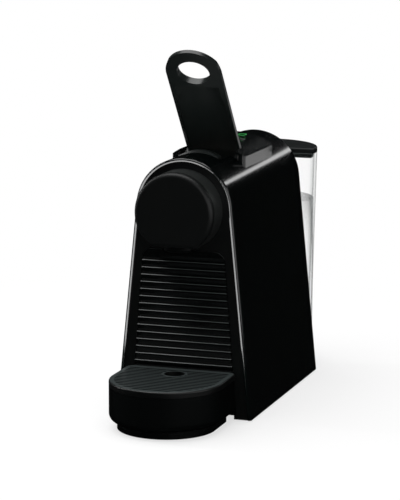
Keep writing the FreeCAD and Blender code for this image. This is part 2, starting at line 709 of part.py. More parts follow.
def make_brew_frame(side):
    low_x, high_x = sorted((side * FRAME_IN, side * FRAME_OUT))
    low_y = PANEL_INSIDE + GAP
    high_y = HEATER_Y + HEATER_DEPTH
    plate = box(low_x, high_x, low_y, high_y, RAIL_TOP - 8, ARCH_CENTRE + 10)
    neck = box(low_x, high_x, AXIS.y - EAR_RADIUS, AXIS.y + EAR_RADIUS, ARCH_CENTRE, AXIS.z)
    ear = rod(EAR_RADIUS, Vector(low_x, AXIS.y, AXIS.z), X_AXIS, FRAME_THICK)
    rail_x = sorted((side * ARM_IN, side * (FRAME_IN + 0.5)))
    rail = box(rail_x[0], rail_x[1], FRONT + 32, FRONT + 100, RAIL_TOP - 5, RAIL_TOP)
    frame = joined(plate, [neck, ear, rail])
    cuts = [rod(PIN_RADIUS + RUN_FIT, Vector(low_x - 1, AXIS.y, AXIS.z), X_AXIS, FRAME_THICK + 2)]
    for back in (16, 88):
        window = box(low_x - 1, high_x + 1, FRONT + back, FRONT + back + 12, RAIL_TOP + 4, ARCH_CENTRE + 4)
        cuts.append(rounded(window, 3, lambda edge: edge.BoundBox.XLength > 2))
    for height in (-6, 6):
        cuts.append(rod(SCREW_RADIUS, Vector(low_x - 1, CHAMBER_END + 2, HEAD_CENTRE + height), X_AXIS, FRAME_THICK + 2))
    return frame.cut(cuts)


def make_brew_carriage():
    low_y = FRONT + CARRIAGE_BACK
    high_y = low_y + CARRIAGE_THICK
    back = rod(PLATE_RADIUS, Vector(0, low_y, HEAD_CENTRE), Y_AXIS, CARRIAGE_THICK)
    low_z = RAIL_TOP + RUN_FIT
    high_z = PIN_Z + CRANK_PIN + 5
    webs = pair(PLATE_RADIUS - 6, ARM_OUT, low_y, high_y, low_z, high_z)
    arms = pair(ARM_IN, ARM_OUT, low_y, low_y + ARM_LENGTH, low_z, high_z)
    posts = pair(9, 13, low_y + 0.5, low_y + 4.5, HEAD_CENTRE + 10, VISOR_SOLE)
    spout = rod(SPOUT_RADIUS, Vector(0, low_y - SPOUT_LENGTH, HEAD_CENTRE - 12), Y_AXIS, SPOUT_LENGTH + 1)
    body = joined(back, webs + arms + posts + [spout])
    bore = rod(SPOUT_RADIUS - 1, Vector(0, low_y - SPOUT_LENGTH - 1, HEAD_CENTRE - 12), Y_AXIS, SPOUT_LENGTH + 9)
    play = CRANK_PIN + YOKE_PLAY
    slots = pair(
        ARM_IN - 1, ARM_OUT + 1, PIN_Y - play, PIN_Y + play, PIN_LOW - CRANK_PIN - 0.6, PIN_Z + CRANK_PIN + 1.2)
    return body.cut([bore] + slots)


def make_brew_plate():
    low_y = FRONT + CARRIAGE_BACK + CARRIAGE_THICK
    high_y = low_y + PLATE_THICK
    disc = rod(PLATE_RADIUS - 0.8, Vector(0, low_y, HEAD_CENTRE), Y_AXIS, PLATE_THICK)
    drain = rod(SPOUT_RADIUS - 1, Vector(0, low_y - 1, HEAD_CENTRE - 12), Y_AXIS, PLATE_THICK + 2)
    teeth = []
    for row in range(-3, 4):
        for column in range(-3, 4):
            near_drain = column == 0 and row == -3
            if math.hypot(row, column) < 3.3 and not near_drain:
                foot = Vector(column * PYRAMID_PITCH, high_y - 0.1, HEAD_CENTRE + row * PYRAMID_PITCH)
                teeth.append(Part.makeCone(1.5, 0.5, PYRAMID + 0.1, foot, Y_AXIS))
    return joined(disc, teeth).cut(drain)


def make_visor():
    low_y = FRONT + CARRIAGE_BACK + 0.5
    high_y = low_y + VISOR_LENGTH
    wedge = prism([
        Vector(-VISOR_HALF, low_y, VISOR_SOLE),
        Vector(-VISOR_HALF, high_y, VISOR_SOLE),
        Vector(-VISOR_HALF, high_y, VISOR_TOP + 1),
        Vector(-VISOR_HALF, high_y - 1.5, VISOR_TOP + 1),
        Vector(-VISOR_HALF, low_y, VISOR_TOP - 5),
    ], Vector(2 * VISOR_HALF, 0, 0))
    crown = rod(VISOR_CROWN, Vector(0, low_y, VISOR_TOP - VISOR_CROWN), Y_AXIS, VISOR_LENGTH)
    scoop = rod(VISOR_CROWN - 3, Vector(0, low_y + 5.5, VISOR_TOP - VISOR_CROWN), Y_AXIS, VISOR_LENGTH)
    return wedge.common(crown).cut(scoop)


def make_brew_chamber():
    low_y = FRONT + CHAMBER_BACK
    cup = rod(CHAMBER_RADIUS, Vector(0, low_y, HEAD_CENTRE), Y_AXIS, CHAMBER_DEPTH)
    flange = box(-FRAME_IN, FRAME_IN, CHAMBER_END, CHAMBER_END + CHAMBER_FLANGE, HEAD_CENTRE - 14, HEAD_CENTRE + 14)
    nipple = rod(4, Vector(0, CHAMBER_END, HEAD_CENTRE), Y_AXIS, HEATER_Y - CHAMBER_END)
    cavity = Part.makeCone(
        CHAMBER_BORE, CHAMBER_BORE - CHAMBER_TAPER, CHAMBER_DEPTH - 2, Vector(0, low_y, HEAD_CENTRE), Y_AXIS)
    feed = rod(1.5, Vector(0, low_y, HEAD_CENTRE), Y_AXIS, HEATER_Y - low_y + 1)
    return joined(cup, [flange, nipple]).cut([cavity, feed])


def make_chamber_seal():
    low_y = FRONT + CHAMBER_BACK - 0.7
    return tube(CHAMBER_RADIUS, CHAMBER_BORE, Vector(0, low_y, HEAD_CENTRE), Y_AXIS, 0.7)


def make_needles():
    start_y = CHAMBER_END - 2
    needles = []
    for turn in range(3):
        angle = math.radians(90 + 120 * turn)
        foot = Vector(6 * math.cos(angle), start_y, HEAD_CENTRE + 6 * math.sin(angle))
        needles.append(Part.makeCone(1.6, 0.25, 6, foot, Y_AXIS * -1))
    return Part.makeCompound(needles)


def make_unit_screws():
    screws = []
    for height in (-6, 6):
        shanks = side_rods(SCREW_RADIUS, FRAME_IN, FRAME_OUT, CHAMBER_END + 2, HEAD_CENTRE + height)
        heads = side_rods(SCREW_HEAD, FRAME_OUT, FRAME_OUT + 1.4, CHAMBER_END + 2, HEAD_CENTRE + height)
        screws += [joined(head, [shank]) for head, shank in zip(heads, shanks)]
    return Part.makeCompound(screws)


# Heating and water path

def make_thermoblock():
    low_y = HEATER_Y
    high_y = HEATER_Y + HEATER_DEPTH
    block = box(-20, 20, low_y, high_y - 4, HEAD_CENTRE - 20, HEAD_CENTRE + 16)
    block = rounded(block, 3, lambda edge: edge.BoundBox.YLength > 10)
    fins = []
    for row in range(6):
        height = HEAD_CENTRE - 17 + row * 5.6
        fins.append(box(-18, 18, high_y - 5, high_y, height, height + 2.4))
    port = tube(4, 1.5, Vector(12, low_y + 7, HEAD_CENTRE - 28), Z_AXIS, 9)
    return joined(block, fins + [port])


def make_heater_terminals():
    return Part.makeCompound(pair(20, 22, HEATER_Y + 4, HEATER_Y + 10, HEAD_CENTRE - 4, HEAD_CENTRE + 8))


def make_thermostat():
    centre = Vector(-6, HEATER_Y + 7, HEAD_CENTRE + 16)
    return joined(rod(6, centre, Z_AXIS, 4), [rod(3, centre + Z_AXIS * 4, Z_AXIS, 3)])


def make_thermal_fuse():
    return rod(2, Vector(6, HEATER_Y + 7, HEAD_CENTRE + 18), X_AXIS, 11)


def make_pump_body():
    centre = Vector(0, PUMP_Y, PUMP_SOLE)
    core = rod(9, centre - Z_AXIS * 4, Z_AXIS, PUMP_LENGTH + 8)
    inlet = tube(4.5, 2, centre - Z_AXIS * 14, Z_AXIS, 10.5)
    outlet = tube(5, 2, centre + Z_AXIS * (PUMP_LENGTH + 3.5), Z_AXIS, 9)
    return joined(core, [inlet, outlet])


def make_pump_coil():
    centre = Vector(0, PUMP_Y, PUMP_SOLE + 8)
    coil = rod(PUMP_RADIUS, centre, Z_AXIS, PUMP_LENGTH - 16)
    plates = [
        box(-17, 17, PUMP_Y - 17, PUMP_Y + 17, PUMP_SOLE + 5, PUMP_SOLE + 8),
        box(-17, 17, PUMP_Y - 17, PUMP_Y + 17, PUMP_SOLE + PUMP_LENGTH - 8, PUMP_SOLE + PUMP_LENGTH - 5),
    ]
    return joined(coil, plates).cut(rod(9, Vector(0, PUMP_Y, PUMP_SOLE - 1), Z_AXIS, PUMP_LENGTH + 2))


def make_pump_dampers():
    rings = []
    for low in (PUMP_SOLE, PUMP_SOLE + PUMP_LENGTH - 5):
        rings.append(tube(15, 9, Vector(0, PUMP_Y, low), Z_AXIS, 5))
    return Part.makeCompound(rings)


def make_pump_bracket():
    low = SHELL_FOOT + 2.5
    top = PUMP_SOLE
    legs = pair(19, 21.5, PUMP_Y - 12, PUMP_Y + 12, low, top)
    feet = pair(21, 32, PUMP_Y - 12, PUMP_Y + 12, low, low + 2.5)
    shelf = box(-21.5, 21.5, PUMP_Y - 16, PUMP_Y + 16, top - 2.5, top)
    return joined(shelf, legs + feet).cut(rod(10, Vector(0, PUMP_Y, low), Z_AXIS, top))


def make_flow_meter():
    low = SHELL_FOOT + 2.5
    body = rod(10, Vector(0, PUMP_Y, low), Z_AXIS, 10)
    outlet = rod(3.5, Vector(0, PUMP_Y, low + 10), Z_AXIS, PUMP_SOLE - 14 - low - 10)
    inlet = rod(2.2, Vector(0, PUMP_Y + 9, low + 3.6), Y_AXIS, 8)
    return joined(body, [outlet, inlet])


def make_inlet_hose():
    start = Vector(0, PUMP_Y + 11, HOSE_HEIGHT)
    end = Vector(0, VALVE_PLACE.y - 9, HOSE_HEIGHT)
    length = end.y - start.y
    return rod(HOSE_RADIUS, start, Y_AXIS, length).cut([
        rod(2.2, start - Y_AXIS, Y_AXIS, 7),
        rod(1.5, start, Y_AXIS, length),
        rod(2.2, end - Y_AXIS * 6, Y_AXIS, 7),
    ])


def make_brew_hose():
    low = PUMP_SOLE + PUMP_LENGTH + 12.5
    port = Vector(12, HEATER_Y + 7, HEAD_CENTRE - 28)
    middle = (low + port.z) / 2
    return hose([
        Vector(0, PUMP_Y, low),
        Vector(0, PUMP_Y, middle),
        Vector(port.x, port.y, middle),
        port,
    ], HOSE_RADIUS)


def make_tank_coupling():
    low = SHELL_FOOT + 2.5
    cup = rod(8, VALVE_PLACE + Z_AXIS * low, Z_AXIS, LEDGE_TOP - low)
    basin = rod(6, VALVE_PLACE + Z_AXIS * (low + 1.5), Z_AXIS, 10)
    post = rod(1.2, VALVE_PLACE + Z_AXIS * low, Z_AXIS, TANK_SOLE + 0.5 - low)
    nipple = rod(2.2, Vector(0, VALVE_PLACE.y - 15, low + 3.6), Y_AXIS, 8)
    bore = rod(1.2, Vector(0, VALVE_PLACE.y - 16, low + 3.6), Y_AXIS, 11)
    return joined(cup.cut(basin), [post, nipple]).cut(bore)


def make_coupling_seal():
    return tube(7.6, 5.2, VALVE_PLACE + Z_AXIS * LEDGE_TOP, Z_AXIS, TANK_SOLE - LEDGE_TOP - 0.1)


def make_control_board():
    low_y = REAR - PANEL_THICK - PANEL_SET_BACK - 6
    return box(-34, -18, low_y, low_y + BOARD_THICK, 70, 140)


def make_board_parts():
    face = REAR - PANEL_THICK - PANEL_SET_BACK - 6
    parts = [box(-32, -22, face - 8, face, 76, 90), box(-31, -24, face - 6, face, 120, 134)]
    parts.append(rod(4, Vector(-27, face - 12, 104), Y_AXIS, 12))
    return Part.makeCompound(parts)


# Drip tray, grid and capsule container

def make_drip_tray():
    outer = tray_solid(0, TRAY_SOLE, TRAY_TOP)
    outer = rounded(outer, TRAY_FOOT_ROUND, lambda edge: lies_at_z(edge, TRAY_SOLE))
    return outer.cut(tray_solid(TRAY_WALL, TRAY_SOLE + TRAY_WALL, TRAY_TOP + 1))


def make_drip_grid():
    low = TRAY_TOP + SEAM
    plate = tray_solid(0, low, GRID_TOP)
    plate = rounded(plate, 1.2, lambda edge: lies_at_z(edge, GRID_TOP))
    lip_inset = TRAY_WALL + SEAM
    lip = tray_solid(lip_inset, low - GRID_LIP, low).cut(tray_solid(lip_inset + 1.8, low - GRID_LIP - 1, low + 1))
    under = tray_solid(lip_inset + 1.8, low - 1, GRID_TOP - 2.2)
    field = tray_solid(GRID_RIM, low - 1, GRID_TOP + 1)
    slots = []
    place = FRONT - TRAY_REACH + GRID_RIM + 2
    while place < FRONT - TRAY_GAP - GRID_RIM - GRID_SLOT:
        slots.append(box(-TRAY_HALF, TRAY_HALF, place, place + GRID_SLOT, low - 2, GRID_TOP + 2))
        place += GRID_PITCH
    cuts = field.common(Part.makeCompound(slots))
    bars = [box(x - 1, x + 1, FRONT - TRAY_REACH + 9, FRONT - 6, low, GRID_TOP - 1) for x in (-14.0, 14.0)]
    grid = plate.cut(under).cut(cuts).fuse([lip] + bars)
    eye = Vector(0, FRONT + GRID_HOLE_BACK, low - 1)
    ring = tube(GRID_HOLE + 2, GRID_HOLE, eye + Z_AXIS, Z_AXIS, GRID_TOP - low)
    return grid.cut(rod(GRID_HOLE, eye, Z_AXIS, 10)).fuse(ring).removeSplitter()


def make_container():
    low_y = FRONT - DOOR_PROUD
    high_y = low_y + DOOR_THICK
    door = door_solid(0, low_y, high_y)
    grooves = []
    for index in range(RIB_COUNT):
        height = RIB_TOP - index * RIB_PITCH
        band_top = height - RIB_PITCH + RIB_BAND
        # Undercut slope, a ledge facing up, and a small bevel on the ledge's lip
        grooves.append(prism([
            Vector(-HALF_BASE, low_y - 0.1, height),
            Vector(-HALF_BASE, low_y + RIB_DEPTH, band_top + RIB_LIP),
            Vector(-HALF_BASE, low_y + RIB_LIP, band_top + RIB_LIP),
            Vector(-HALF_BASE, low_y - 0.1, band_top - 0.1),
        ], Vector(BODY_WIDTH, 0, 0)))
    door = door.cut(Part.makeCompound(grooves))
    outside = box(-BIN_HALF, BIN_HALF, high_y - 1, FRONT + BIN_BACK, BIN_FLOOR, BIN_TOP)
    inside = box(
        -BIN_HALF + BIN_WALL, BIN_HALF - BIN_WALL, high_y, FRONT + BIN_BACK - BIN_WALL,
        BIN_FLOOR + BIN_WALL, BIN_TOP + 1)
    shelf = tray_solid(TRAY_FOOT_INSET, SHELF_SOLE, TRAY_SOLE - 0.1)
    heel = box(-26, 26, FRONT - TRAY_GAP - TRAY_FOOT_INSET - 5, high_y, SHELF_SOLE, TRAY_SOLE - 0.1)
    cell = tray_solid(TRAY_FOOT_INSET + 2.4, SHELF_SOLE - 1, TRAY_SOLE - 2.3)
    spine = box(
        -1.2, 1.2, FRONT - TRAY_REACH + TRAY_FOOT_INSET + 1, FRONT - TRAY_FOOT_INSET - 2, SHELF_SOLE, TRAY_SOLE - 1)
    return joined(door, [outside, shelf, heel]).cut([inside, cell]).fuse(spine).removeSplitter()


# Water tank

def make_water_tank():
    tank = tank_solid(0, TANK_SOLE, TANK_TOP).cut(tank_solid(TANK_WALL, TANK_SOLE + TANK_WALL, TANK_TOP + 1))
    seat = rod(VALVE_HEAD + 2, VALVE_PLACE + Z_AXIS * (TANK_SOLE + TANK_WALL - 0.5), Z_AXIS, 3)
    port = rod(VALVE_BORE, VALVE_PLACE + Z_AXIS * (TANK_SOLE - 1), Z_AXIS, 10)
    inside = LID_AXIS_Y + 0.8
    ledge = box(-TANK_HALF, TANK_HALF, REAR, inside, TANK_TOP - 3, TANK_TOP).common(tank_solid(0, TANK_SOLE, TANK_TOP))
    sockets = side_rods(LID_PIN + RUN_FIT, LID_PIN_IN - SEAM, LID_PIN_OUT + SEAM, LID_AXIS_Y, LID_AXIS_Z)
    return joined(tank, [seat, ledge]).cut([port] + sockets)


def make_tank_valve():
    low = TANK_SOLE + TANK_WALL + 2.5
    head = rod(VALVE_HEAD, VALVE_PLACE + Z_AXIS * (low + VALVE_LIFT + 0.2), Z_AXIS, 2.5)
    stem_low = TANK_SOLE + 0.6
    stem = rod(VALVE_BORE - 0.6, VALVE_PLACE + Z_AXIS * stem_low, Z_AXIS, low + VALVE_LIFT + 1 - stem_low)
    return joined(head, [stem])


def make_tank_lid():
    front_y = LID_AXIS_Y
    plate = tank_slab(0, front_y, LID_AXIS_Z, TANK_TOP + LID_THICK)
    lid = rounded(plate, 1.4, lambda edge: lies_at_z(edge, TANK_TOP + LID_THICK))
    plug = tank_slab(TANK_WALL + 0.8, front_y + 1.6, TANK_TOP - LID_PLUG, TANK_TOP + 0.2)
    hollow = tank_slab(TANK_WALL + 2.8, front_y + 3.4, TANK_TOP - LID_PLUG - 1, TANK_TOP + LID_THICK - 2)
    pins = side_rods(LID_PIN, LID_PIN_IN, LID_PIN_OUT, LID_AXIS_Y, LID_AXIS_Z)
    return joined(lid, [plug]).cut(hollow).fuse(pins).removeSplitter()


NODES = {
    "outer_shell": make_outer_shell,
    "front_panel": make_front_panel,
    "rear_panel": make_rear_panel,
    "base_plate": make_base_plate,
    "rubber_feet": make_feet,
    "cord_gland": make_cord_gland,
    "casing_screws": make_casing_screws,
    "control_cover": make_control_cover,
    "espresso_button": lambda: make_button(-1),
    "lungo_button": lambda: make_button(1),
    "button_board": make_button_board,
    "button_switches": make_button_switches,
    "brew_head_drum": make_head_drum,
    "brew_head_cap": make_head_cap,
    "coffee_outlet": make_outlet,
    "outlet_nozzles": make_nozzles,
    "coffee_funnel": make_coffee_funnel,
    "lever_handle": make_lever_handle,
    "lever_cranks": make_lever_cranks,
    "lever_hinge_pins": make_hinge_pins,
    "lever_crank_pins": make_crank_pins,
    "brew_frame_left": lambda: make_brew_frame(-1),
    "brew_frame_right": lambda: make_brew_frame(1),
    "brew_carriage": make_brew_carriage,
    "brew_plate": make_brew_plate,
    "capsule_visor": make_visor,
    "brew_chamber": make_brew_chamber,
    "chamber_seal": make_chamber_seal,
    "chamber_needles": make_needles,
    "brew_unit_screws": make_unit_screws,
    "thermoblock": make_thermoblock,
    "heater_terminals": make_heater_terminals,
    "thermostat": make_thermostat,
    "thermal_fuse": make_thermal_fuse,
    "pump_body": make_pump_body,
    "pump_coil": make_pump_coil,
    "pump_dampers": make_pump_dampers,
    "pump_bracket": make_pump_bracket,
    "flow_meter": make_flow_meter,
    "inlet_hose": make_inlet_hose,
    "brew_hose": make_brew_hose,
    "tank_coupling": make_tank_coupling,
    "coupling_seal": make_coupling_seal,
    "control_board": make_control_board,
    "board_parts": make_board_parts,
    "drip_tray": make_drip_tray,
    "drip_grid": make_drip_grid,
    "capsule_container": make_container,
    "water_tank": make_water_tank,
    "tank_valve": make_tank_valve,
    "tank_lid": make_tank_lid,
}

GROUPS = (
    "rubber_feet", "casing_screws", "button_switches", "outlet_nozzles", "lever_cranks", "lever_hinge_pins",
    "lever_crank_pins", "chamber_needles", "brew_unit_screws", "heater_terminals", "pump_dampers", "board_parts",
)

os.makedirs("parts", exist_ok=True)
for name, make in NODES.items():
    shape = make()
    single = len(shape.Solids) == 1
    if not shape.isValid() or (not single and name not in GROUPS):
        print("look at", name, "solids", len(shape.Solids), "valid", shape.isValid())
    node = shape.Solids[0] if single else Part.makeCompound(shape.Solids)
    node.exportStep("parts/%s.step" % name)
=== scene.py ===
import math

import bpy
import numpy as np
from mathutils import Matrix, Vector


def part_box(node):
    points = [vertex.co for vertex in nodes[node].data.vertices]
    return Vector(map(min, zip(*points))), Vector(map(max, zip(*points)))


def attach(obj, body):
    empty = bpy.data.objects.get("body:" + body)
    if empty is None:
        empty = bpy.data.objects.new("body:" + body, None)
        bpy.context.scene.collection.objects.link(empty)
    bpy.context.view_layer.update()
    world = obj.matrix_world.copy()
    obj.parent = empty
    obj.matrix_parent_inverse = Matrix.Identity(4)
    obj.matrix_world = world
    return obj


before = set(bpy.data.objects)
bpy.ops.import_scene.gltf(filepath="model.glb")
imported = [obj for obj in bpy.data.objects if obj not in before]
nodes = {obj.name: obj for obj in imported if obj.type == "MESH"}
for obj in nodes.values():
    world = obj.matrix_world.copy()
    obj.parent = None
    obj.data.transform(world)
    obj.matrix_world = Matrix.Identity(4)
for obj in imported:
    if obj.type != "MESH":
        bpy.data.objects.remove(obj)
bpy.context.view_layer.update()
mm = 0.001
white = (1.0, 1.0, 1.0, 1.0)
print("frame loaded with", len(nodes), "nodes")


# sRGB hex to linear: v / 12.92 below 0.04045, ((v + 0.055) / 1.055) ** 2.4 above
def linearColour(hexCode):
    srgb = np.array([int(hexCode[i:i + 2], 16) for i in (1, 3, 5)]) / 255
    linear = np.where(srgb <= 0.04045, srgb / 12.92, ((srgb + 0.055) / 1.055) ** 2.4)
    return (*linear.tolist(), 1.0)


# settings are the node's own properties, values its unlinked inputs, links its inputs fed by another output
def addNode(tree, kind, settings=None, values=None, links=None):
    node = tree.nodes.new(kind)
    for name, setting in (settings or {}).items():
        setattr(node, name, setting)
    for name, value in (values or {}).items():
        node.inputs[name].default_value = value
    for name, output in (links or {}).items():
        tree.links.new(output, node.inputs[name])
    return node


def emptyMaterial(name):
    material = bpy.data.materials.new(name)
    material.use_nodes = True
    material.node_tree.nodes.clear()
    return material


# the noise that stands for a grained tool: octaves, their share, and depth as a share of the grain's width
grainLook = {"detail": 2.0, "roughness": 0.55, "depthShare": 0.2}


# moulded surface: a principled shader, with a fine noise bump where the tool was grained
def mouldedMaterial(name, look):
    material = emptyMaterial(name)
    tree = material.node_tree
    values = {
        "Base Color": linearColour(look["colour"]),
        "Roughness": look["roughness"],
        "IOR": look.get("ior", 1.5),
        "Metallic": look.get("metallic", 0.0),
        "Specular IOR Level": look.get("specular", 0.5),
    }
    links = {}
    if "grainMm" in look:
        place = addNode(tree, "ShaderNodeTexCoord")
        grain = addNode(
            tree, "ShaderNodeTexNoise",
            values={
                "Scale": 1 / (look["grainMm"] * mm), "Detail": grainLook["detail"],
                "Roughness": grainLook["roughness"]},
            links={"Vector": place.outputs["Object"]})
        bump = addNode(
            tree, "ShaderNodeBump",
            values={
                "Strength": look["grainStrength"],
                "Distance": look["grainMm"] * mm * grainLook["depthShare"]},
            links={"Height": grain.outputs["Fac"]})
        links["Normal"] = bump.outputs["Normal"]
    shader = addNode(tree, "ShaderNodeBsdfPrincipled", values=values, links=links)
    addNode(tree, "ShaderNodeOutputMaterial", links={"Surface": shader.outputs["BSDF"]})
    return material


# clear surface: thin seen straight on, denser where the eye meets it edgewise; mirrored rays pass through
def clearMaterial(name, look):
    material = emptyMaterial(name)
    tree = material.node_tree
    path = addNode(tree, "ShaderNodeLightPath")
    # a blend of 0.5 leaves Facing unbent
    facing = addNode(tree, "ShaderNodeLayerWeight", values={"Blend": 0.5})
    edgewise = addNode(
        tree, "ShaderNodeMath", {"operation": "POWER"},
        values={1: look["edgePower"]}, links={0: facing.outputs["Facing"]})
    density = addNode(
        tree, "ShaderNodeMapRange",
        values={"To Min": look["alpha"], "To Max": look["edgeAlpha"]},
        links={"Value": edgewise.outputs["Value"]})
    shown = addNode(
        tree, "ShaderNodeMath", {"operation": "SUBTRACT"},
        values={0: 1.0}, links={1: path.outputs["Is Glossy Ray"]})
    alpha = addNode(
        tree, "ShaderNodeMath", {"operation": "MULTIPLY"},
        links={0: density.outputs["Result"], 1: shown.outputs["Value"]})
    shader = addNode(
        tree, "ShaderNodeBsdfPrincipled",
        values={
            "Base Color": linearColour(look["colour"]), "Roughness": look["roughness"], "IOR": look["ior"]},
        links={"Alpha": alpha.outputs["Value"]})
    addNode(tree, "ShaderNodeOutputMaterial", links={"Surface": shader.outputs["BSDF"]})
    return material


# a face that looks up takes the top's colour and an upright one the flank's, in place of a highlight
def paleTopMaterial(name, look):
    material = emptyMaterial(name)
    tree = material.node_tree
    surface = addNode(tree, "ShaderNodeNewGeometry")
    parts = addNode(tree, "ShaderNodeSeparateXYZ", links={"Vector": surface.outputs["Normal"]})
    flat = addNode(
        tree, "ShaderNodeMapRange",
        values={"From Min": look["flatFrom"], "From Max": look["flatTo"]},
        links={"Value": parts.outputs["Z"]})
    colour = addNode(
        tree, "ShaderNodeMix", {"data_type": "RGBA"},
        values={"A": linearColour(look["flank"]), "B": linearColour(look["top"])},
        links={"Factor": flat.outputs["Result"]})
    shader = addNode(
        tree, "ShaderNodeBsdfPrincipled",
        values={"Roughness": look["roughness"], "IOR": look["ior"], "Specular IOR Level": look["specular"]},
        links={"Base Color": colour.outputs["Result"]})
    addNode(tree, "ShaderNodeOutputMaterial", links={"Surface": shader.outputs["BSDF"]})
    return material


def dress(material, *names):
    for name in names:
        mesh = nodes[name].data
        mesh.materials.clear()
        mesh.materials.append(material)


# polished ABS from a mirror-finished mould: deep black with sharp, narrow reflections
polishedAbs = {"colour": "#030505", "roughness": 0.1, "ior": 1.53}
dress(mouldedMaterial("polished black ABS", polishedAbs), "outer_shell")

# satin ABS from a vapour-blasted mould: black with a broad soft sheen
satinAbs = {"colour": "#070a0a", "roughness": 0.34, "ior": 1.53, "grainMm": 0.35, "grainStrength": 0.08}
dress(
    mouldedMaterial("satin black ABS", satinAbs),
    "front_panel", "rear_panel", "base_plate")

# the container's ABS from a smoother tool: black slopes, each lip painted paler in place of its highlight
ribbedAbs = {
    "flank": "#030505", "top": "#3b403f", "roughness": 0.24, "ior": 1.53, "specular": 0.42,
    "flatFrom": 0.3, "flatTo": 0.6}
dress(paleTopMaterial("smooth-moulded black ABS", ribbedAbs), "capsule_container")

# a like satin ABS on the lever and the visor: greyer, with a slightly tighter sheen
greyerSatinAbs = {"colour": "#161b1a", "roughness": 0.3, "ior": 1.53, "grainMm": 0.35, "grainStrength": 0.06}
dress(
    mouldedMaterial("satin charcoal ABS", greyerSatinAbs),
    "lever_handle", "capsule_visor")

# semi-gloss ABS on the cover and its keys: a dark top under a clear, soft-edged sheen
coverAbs = {"colour": "#0b0e0e", "roughness": 0.16, "ior": 1.53}
dress(mouldedMaterial("semi-gloss black ABS", coverAbs), "control_cover", "espresso_button", "lungo_button")

# matte polypropylene from a spark-eroded mould, on the tray and the outlet: near black, no clear reflections
trayPolypropylene = {
    "colour": "#040606", "roughness": 0.36, "ior": 1.49, "specular": 0.09,
    "grainMm": 0.4, "grainStrength": 0.12}
dress(mouldedMaterial("matte black polypropylene", trayPolypropylene), "drip_tray", "coffee_outlet")

# the head's cap, spark-eroded with the same grain: an even charcoal
capPolypropylene = {
    "colour": "#070a0a", "roughness": 0.45, "ior": 1.49, "specular": 0.3,
    "grainMm": 0.4, "grainStrength": 0.12}
dress(mouldedMaterial("matte charcoal polypropylene", capPolypropylene), "brew_head_cap")

# the tank's lid, moulded in the same plastic: a flat dark grey
lidPolypropylene = {
    "colour": "#0c1010", "roughness": 0.5, "ior": 1.49, "specular": 0.25,
    "grainMm": 0.4, "grainStrength": 0.12}
dress(mouldedMaterial("matte lid polypropylene", lidPolypropylene), "tank_lid")

# lighter matte polypropylene of the drum, spark-eroded too: a dark grey with a broad, faint sheen
greyPolypropylene = {
    "colour": "#171b1a", "roughness": 0.46, "ior": 1.49, "grainMm": 0.4, "grainStrength": 0.15}
dress(mouldedMaterial("matte grey polypropylene", greyPolypropylene), "brew_head_drum")

# the grid's polypropylene, painted paler on top in place of its sheen: light slats over black slots
gridPolypropylene = {
    "flank": "#050707", "top": "#3a4040", "roughness": 0.34, "ior": 1.49, "specular": 0.4,
    "flatFrom": 0.8, "flatTo": 0.98}
dress(paleTopMaterial("moulded black polypropylene", gridPolypropylene), "drip_grid")

# clear SAN moulded in a polished tool: the tank, nearly unseen but for the grey of its edges
clearSan = {
    "colour": "#8f9a98", "roughness": 0.06, "ior": 1.57, "alpha": 0.015, "edgeAlpha": 0.7, "edgePower": 6.0}
dress(clearMaterial("clear moulded SAN", clearSan), "water_tank")

# black EPDM rubber, moulded: dull and dark
feetRubber = {"colour": "#1a1a1a", "roughness": 0.75, "ior": 1.52}
dress(mouldedMaterial("moulded black rubber", feetRubber), "rubber_feet", "cord_gland", "pump_dampers")

# silicone, moulded red for the seals and extruded milky for the hoses: soft, low sheen
sealSilicone = {"colour": "#b8492f", "roughness": 0.5, "ior": 1.41}
dress(mouldedMaterial("moulded red silicone", sealSilicone), "chamber_seal", "coupling_seal")
hoseSilicone = {"colour": "#dedfda", "roughness": 0.45, "ior": 1.41}
dress(mouldedMaterial("extruded milky silicone", hoseSilicone), "inlet_hose", "brew_hose")

# natural acetal, moulded: the off-white inner pieces that carry the water and the capsule
innerAcetal = {"colour": "#d9d8d2", "roughness": 0.4, "ior": 1.48}
dress(
    mouldedMaterial("natural acetal", innerAcetal),
    "tank_valve", "flow_meter", "coffee_funnel", "brew_chamber", "brew_carriage", "pump_body",
    "tank_coupling")

# glass-fibre circuit board under green solder mask, a thin gloss, and its dull dark parts
solderMask = {"colour": "#2f6b3c", "roughness": 0.35, "ior": 1.52}
dress(mouldedMaterial("green solder mask", solderMask), "button_board", "control_board")
epoxyParts = {"colour": "#202124", "roughness": 0.5, "ior": 1.55}
dress(mouldedMaterial("black epoxy parts", epoxyParts), "button_switches", "board_parts", "thermal_fuse")

# cold-rolled stainless steel, softly bright, and die-cast aluminium round the heater, dull and grainy
rolledSteel = {"colour": "#c4c4c2", "roughness": 0.32, "metallic": 1.0}
dress(
    mouldedMaterial("rolled stainless steel", rolledSteel),
    "outlet_nozzles", "lever_cranks", "lever_hinge_pins", "lever_crank_pins", "brew_frame_left",
    "brew_frame_right", "brew_plate", "chamber_needles", "casing_screws", "brew_unit_screws",
    "heater_terminals", "thermostat", "pump_coil", "pump_bracket")
castAluminium = {
    "colour": "#b9babb", "roughness": 0.55, "metallic": 1.0, "grainMm": 0.8, "grainStrength": 0.2}
dress(mouldedMaterial("die-cast aluminium", castAluminium), "thermoblock")
print("materials given to the nodes")


# a grid of points (rows, columns, 3) as a mesh of quads, closed round its columns where wrap is set
def gridMesh(name, points, wrap=False):
    rows, columns = points.shape[:2]
    index = np.arange(rows * columns).reshape(rows, columns)
    ahead = np.roll(index, -1, axis=1) if wrap else index[:, 1:]
    here = index if wrap else index[:, :-1]
    faces = np.stack([here[:-1], ahead[:-1], ahead[1:], here[1:]], axis=-1).reshape(-1, 4)
    mesh = bpy.data.meshes.new(name)
    mesh.from_pydata(points.reshape(-1, 3).tolist(), [], faces.tolist())
    piece = bpy.data.objects.new(name, mesh)
    bpy.context.collection.objects.link(piece)
    return piece


